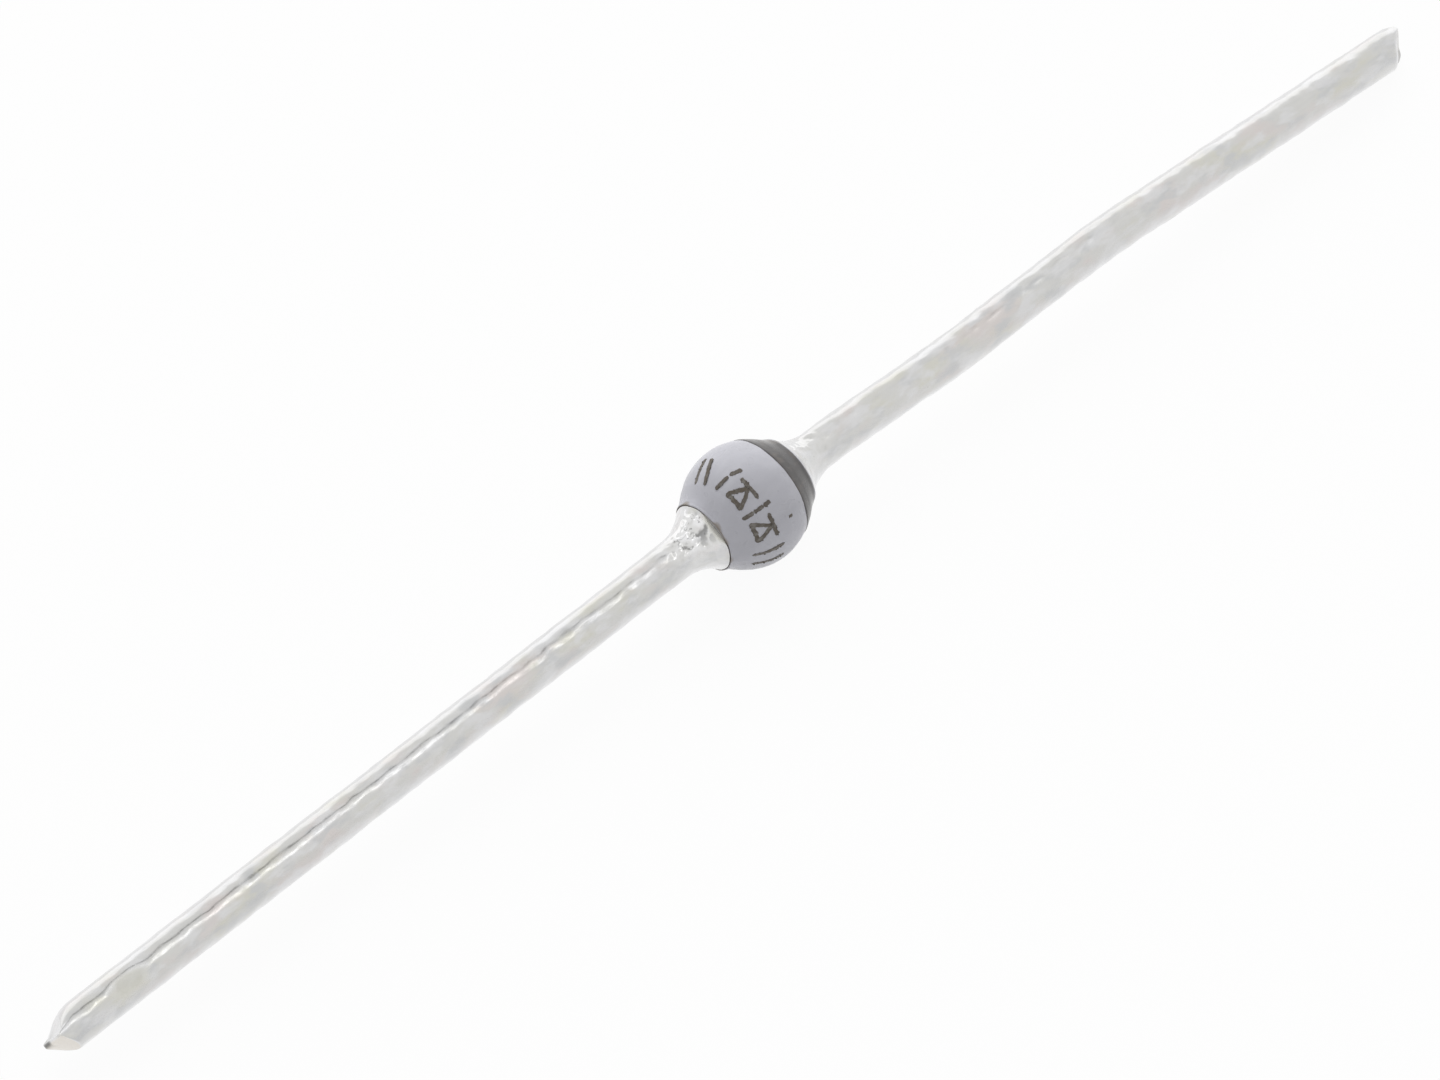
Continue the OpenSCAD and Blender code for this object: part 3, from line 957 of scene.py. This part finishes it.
def lead_piece(sizes, material, side):
    """One lead as one closed skin, from its head in the glass to its cut tip."""
    own = LEADS[side]
    tip = sizes.bead_l / 2 + getattr(sizes, side + "_l")
    cut = getattr(sizes, side + "_cut")
    roll = getattr(sizes, side + "_roll")
    wire = sizes.wire_d / 2
    along, radius, on_cut = lead_rings(sizes, tip, cut, roll)
    right = np.sin(TURN_WIRE)
    up = np.cos(TURN_WIRE)
    places = np.stack((along, radius * right, radius * up), axis=-1) / MM
    from_glass = along / MM - sizes.bead_l / 2 / MM
    length_mm = tip / MM - sizes.bead_l / 2 / MM
    height, hollow, fresh = lead_relief(own, places, from_glass, on_cut, wire, length_mm)
    radius = radius + height * MM
    over, aside = turned(radius * up, radius * right, roll)
    aside = squeezed(sizes, own, tip, cut, along, over, aside)
    dull = 0 * along
    if side == "anode":
        outward, beside = turned(over, aside, sizes.grip_roll - roll)
        outward, dull = pressed(sizes, along, tip, outward)
        over, aside = turned(outward, beside, roll - sizes.grip_roll)
    near_end = ramp(tip - END_FROM, tip - END_FULL, along)
    burr, burr_reach = end_hump(over, aside, BURR)
    peak_reach = end_hump(over, aside, PEAK)[1]
    along = along + (burr_reach + peak_reach) * near_end * MM
    over = over - BURR_DROP * burr * near_end
    along = along + relief("shear line", places, own.seed) * on_cut * MM
    # Painted reflection: a dark streak along the cut's edge near the tip, added to the flare's
    # painted shade
    edge = np.exp(-(aside / MM / EDGE_WIDTH) ** 2) * near_end * ramp(*EDGE_FROM, -over / MM)
    hollow = np.maximum(hollow, EDGE_SHARE * edge)
    up, right = turned(over, aside, -roll)
    if side == "cathode":
        for facing, depth, reach in CHAMFERS:
            along = along - depth * ramp(*reach, facing * right / MM) * near_end * MM

    x, z, heading = follow_bends(sizes.bead_l / 2 + sizes.flare_l, own.bends, along)
    bent = np.stack((x - up * np.sin(heading), -right, z + up * np.cos(heading)), axis=-1)
    points = bent.reshape(-1, 3)
    straight = np.stack((along, right, up), axis=-1).reshape(-1, 3)
    faces = quads(len(along), AROUND_WIRE)
    for first in (0, len(points) - AROUND_WIRE):
        loop = slice(first, first + AROUND_WIRE)
        centre = len(points)
        points = np.concatenate((points, points[loop].mean(axis=0, keepdims=True)))
        straight = np.concatenate((straight, straight[loop].mean(axis=0, keepdims=True)))
        for column in range(AROUND_WIRE):
            faces.append([first + column, first + (column + 1) % AROUND_WIRE, centre])
    if side == "anode":
        points = points * (-1, 1, 1)
    lead = make_piece(side + "_wire", points, faces, material, [side + "_lead"])
    lead.data.set_sharp_from_angle(angle=SHARP_ANGLE)
    hold(lead, "straight", straight, "FLOAT_VECTOR", "vector")
    bare = on_cut * ramp(-BARE_EDGE, BARE_EDGE, aside) * own.bare
    # Each mask ends with its values at the middles of the head and of the tip
    for name, mask, at_tip in (
        ("hollow", hollow, float(edge[-1].mean())),
        ("cut", bare, 0.5),
        ("dull", dull, 0.0),
        ("fresh", fresh, 0.0),
    ):
        hold(lead, name, [*mask.ravel(), 0.0, at_tip])


# ---- Stage


# Lamps, as (name, place, target, width, depth, level, on matt, in mirrors), in metres
LAMPS = (
    ("key lamp", (0.23, 0.33, 0.30), (0, 0, 0), 0.6, 0.6, 1.95, True, False),
    ("window lamp", (0.207, 0.388, 0.097), (0, 0, 0), 0.8, 0.30, 0.32, False, True),
    ("strip lamp", (0.035, -0.046, 0.166), (-0.015, 0, 0), 0.12, 0.02, 0.6, True, True),
    ("tip lamp", (0.052, -0.050, 0.166), (-0.028, 0, 0), 0.022, 0.03, 0.8, True, True),
)
# Cards over the leads, as (name, X range, level), and (Y, Z) of their long sides
CARDS = (
    ("tip card", (-0.10, 0.057), 0.42),
    ("end card", (0.057, 0.062), 0.68),
    ("wire card", (0.062, 0.086), 0.86),
)
CARD_SIDES = ((0.028, 0.160), (0.052, 0.150))
FLOOR_GREY = 0.92
FLOOR_GLOW = 0.94
WHITE = {"Color": (1, 1, 1, 1), "Strength": 1.0}


def area_lamp(name, place, target, width, depth, level, on_matt, in_mirrors):
    """A soft lamp whose face adds this level, for matt surfaces, for mirrors or for both."""
    lamp = bpy.data.lights.new(name, "AREA")
    lamp.shape = "RECTANGLE"
    lamp.size = width
    lamp.size_y = depth
    lamp.energy = level * pi * width * depth
    made = linked(name, lamp)
    made.location = place
    made.rotation_euler = (Vector(target) - Vector(place)).to_track_quat("-Z", "Y").to_euler()
    made.visible_camera = False
    made.visible_diffuse = on_matt
    made.visible_glossy = in_mirrors


def seen_directly(tree):
    """1 where the camera sees a surface itself, in metal or through glass."""
    path = tree.nodes.new("ShaderNodeLightPath").outputs
    seen = math_node(tree, "MAXIMUM", path["Is Camera Ray"], path["Is Glossy Ray"])
    return math_node(tree, "MAXIMUM", seen, path["Is Transmission Ray"])


def white_world(ambient):
    """A white room for the camera and reflections, and plain light for the rest."""
    world = bpy.data.worlds.new("White room")
    world.use_nodes = True
    tree = world.node_tree
    room = tree.nodes["Background"]
    feed(tree, room.inputs["Color"], WHITE["Color"])
    feed(tree, room.inputs["Strength"], ambient)
    white = node(tree, "ShaderNodeBackground", WHITE)
    mix_shaders(tree, seen_directly(tree), room, white, "World Output")
    bpy.context.scene.world = world


def matt_material(name, grey, level=0):
    """A matt finish without a shine, which may glow at a level."""
    return new_material(
        name, Base_Color=(grey, grey, grey), Roughness=0.9, Specular_IOR_Level=0.0,
        Emission_Color=WHITE["Color"], Emission_Strength=level,
    )


def floor_piece(size):
    """A square floor that looks white and keeps a faint shadow."""
    material, tree, shader = matt_material("Pale floor", FLOOR_GREY)
    glow = node(tree, "ShaderNodeEmission", WHITE)
    share = math_node(tree, "MULTIPLY", seen_directly(tree), FLOOR_GLOW)
    mix_shaders(tree, share, shader, glow, "Material Output")
    half = size / 2
    corners = [(-half, -half, 0), (half, -half, 0), (half, half, 0), (-half, half, 0)]
    linked("floor", flat_mesh("floor", corners, material))


def dark_card(name, x_range, level):
    """A card of a set level that only shows as a darker line in the bright metal."""
    material = matt_material(name, 0, level)[0]
    low, high = x_range
    near, far = CARD_SIDES
    corners = [(low, *near), (high, *near), (high, *far), (low, *far)]
    card = linked(name, flat_mesh(name, corners, material))
    for ray in ("camera", "diffuse", "shadow", "transmission"):
        setattr(card, "visible_" + ray, False)


def aim_camera(stage):
    """The camera, placed by its turn, height and distance round the aim point."""
    turn = stage.azimuth
    lift = stage.elevation
    back = Vector((sin(turn) * cos(lift), -cos(turn) * cos(lift), sin(lift)))
    right = Vector((cos(turn), sin(turn), 0))
    up = back.cross(right)
    bead = Vector((0, 0, BEAD_DIAMETER / 2))
    aim = bead - stage.aim_right * right - stage.aim_up * up
    lens = bpy.data.cameras.new("camera")
    lens.lens = stage.lens
    camera = linked("camera", lens)
    facing = Matrix((right, up, back)).transposed().to_4x4()
    camera.matrix_world = Matrix.Translation(aim + back * stage.distance) @ facing
    bpy.context.scene.camera = camera


# ---- Operators


def needs(condition, message):
    """Stops the script where something that an operator builds on is missing."""
    if not condition:
        raise RuntimeError(message)


class DIODE_OT_bead(bpy.types.Operator):
    """Build the glass bead, its painted band and its printed marks"""

    bl_idname = "diode.bead"
    bl_label = "Build bead"

    def execute(self, context):
        sizes = context.scene.diode_sizes
        finish = context.scene.diode_finish
        needs(sizes.collar_d > sizes.flare_d, "The collar must be wider than the flare")
        glass_piece(sizes, glass_material(finish))
        band_piece(sizes, band_material(finish))
        print_piece(sizes, ink_material(finish))
        return {"FINISHED"}


class DIODE_OT_leads(bpy.types.Operator):
    """Build both tinned leads, with their flares, bends and cut tips"""

    bl_idname = "diode.leads"
    bl_label = "Build leads"

    def execute(self, context):
        sizes = context.scene.diode_sizes
        needs(sizes.flare_d > sizes.wire_d, "The flare must be wider than the wire")
        tin = tin_material(context.scene.diode_finish)
        for side in ("anode", "cathode"):
            lead_piece(sizes, tin, side)
        return {"FINISHED"}


INNER_FINISHES = {
    "braze": ("Braze", (0.62, 0.47, 0.28), (0.50, 0.40, 0.28), 1.0, 0.30),
    "stud": ("Molybdenum", (0.42, 0.43, 0.46), (0.34, 0.35, 0.38), 1.0, 0.34),
    "alloy": ("Aluminium alloy", (0.70, 0.71, 0.73), (0.60, 0.61, 0.64), 1.0, 0.42),
    "silicon_die": ("Silicon", (0.12, 0.13, 0.15), (0.17, 0.17, 0.21), 0.6, 0.18),
}


class DIODE_OT_junction(bpy.types.Operator):
    """Finish the die, alloy, studs and braze that the glass covers"""

    bl_idname = "diode.junction"
    bl_label = "Finish junction"

    def execute(self, context):
        for ending, values in INNER_FINISHES.items():
            found = [o for name, o in frame["nodes"].items() if name.endswith(ending)]
            needs(found, "The packed model has no node that ends in " + ending)
            material = inner_material(*values)
            for part in found:
                part.data.materials.clear()
                part.data.materials.append(material)
        return {"FINISHED"}


class DIODE_OT_stage(bpy.types.Operator):
    """Set up the floor, the room, the lamps and the camera"""

    bl_idname = "diode.stage"
    bl_label = "Set up stage"

    def execute(self, context):
        stage = context.scene.diode_stage
        needs(stage.distance > 0, "The camera needs a distance")
        white_world(stage.ambient)
        floor_piece(stage.floor_size)
        for lamp in LAMPS:
            area_lamp(*lamp)
        for card in CARDS:
            dark_card(*card)
        aim_camera(stage)
        context.scene.view_settings.view_transform = "Standard"
        return {"FINISHED"}


class DIODE_PT_panel(bpy.types.Panel):
    """Sizes, finishes and steps of the diode"""

    bl_idname = "DIODE_PT_panel"
    bl_label = "Diode"
    bl_space_type = "VIEW_3D"
    bl_region_type = "UI"
    bl_category = "Diode"

    def draw(self, context):
        for setting, group in SETTINGS.items():
            box = self.layout.box()
            box.label(text=group.__doc__)
            for name in group.__annotations__:
                box.prop(getattr(context.scene, setting), name)
        for operator in STEPS:
            self.layout.operator(operator.bl_idname)


SETTINGS = {"diode_sizes": DiodeSizes, "diode_finish": DiodeFinish, "diode_stage": DiodeStage}
STEPS = (DIODE_OT_bead, DIODE_OT_leads, DIODE_OT_junction, DIODE_OT_stage)
CLASSES = (*SETTINGS.values(), *STEPS, DIODE_PT_panel)


def register():
    """Adds the add-on's classes and its settings on the scene."""
    for listed in CLASSES:
        bpy.utils.register_class(listed)
    for name, group in SETTINGS.items():
        setattr(bpy.types.Scene, name, bpy.props.PointerProperty(type=group))


def unregister():
    """Takes the add-on's settings and classes away again."""
    for name in SETTINGS:
        delattr(bpy.types.Scene, name)
    for listed in reversed(CLASSES):
        bpy.utils.unregister_class(listed)


def main():
    """Builds the diode and its stage."""
    register()
    bpy.ops.diode.bead()
    bpy.ops.diode.leads()
    bpy.ops.diode.junction()
    bpy.ops.diode.stage()


if __name__ == "__main__":
    main()
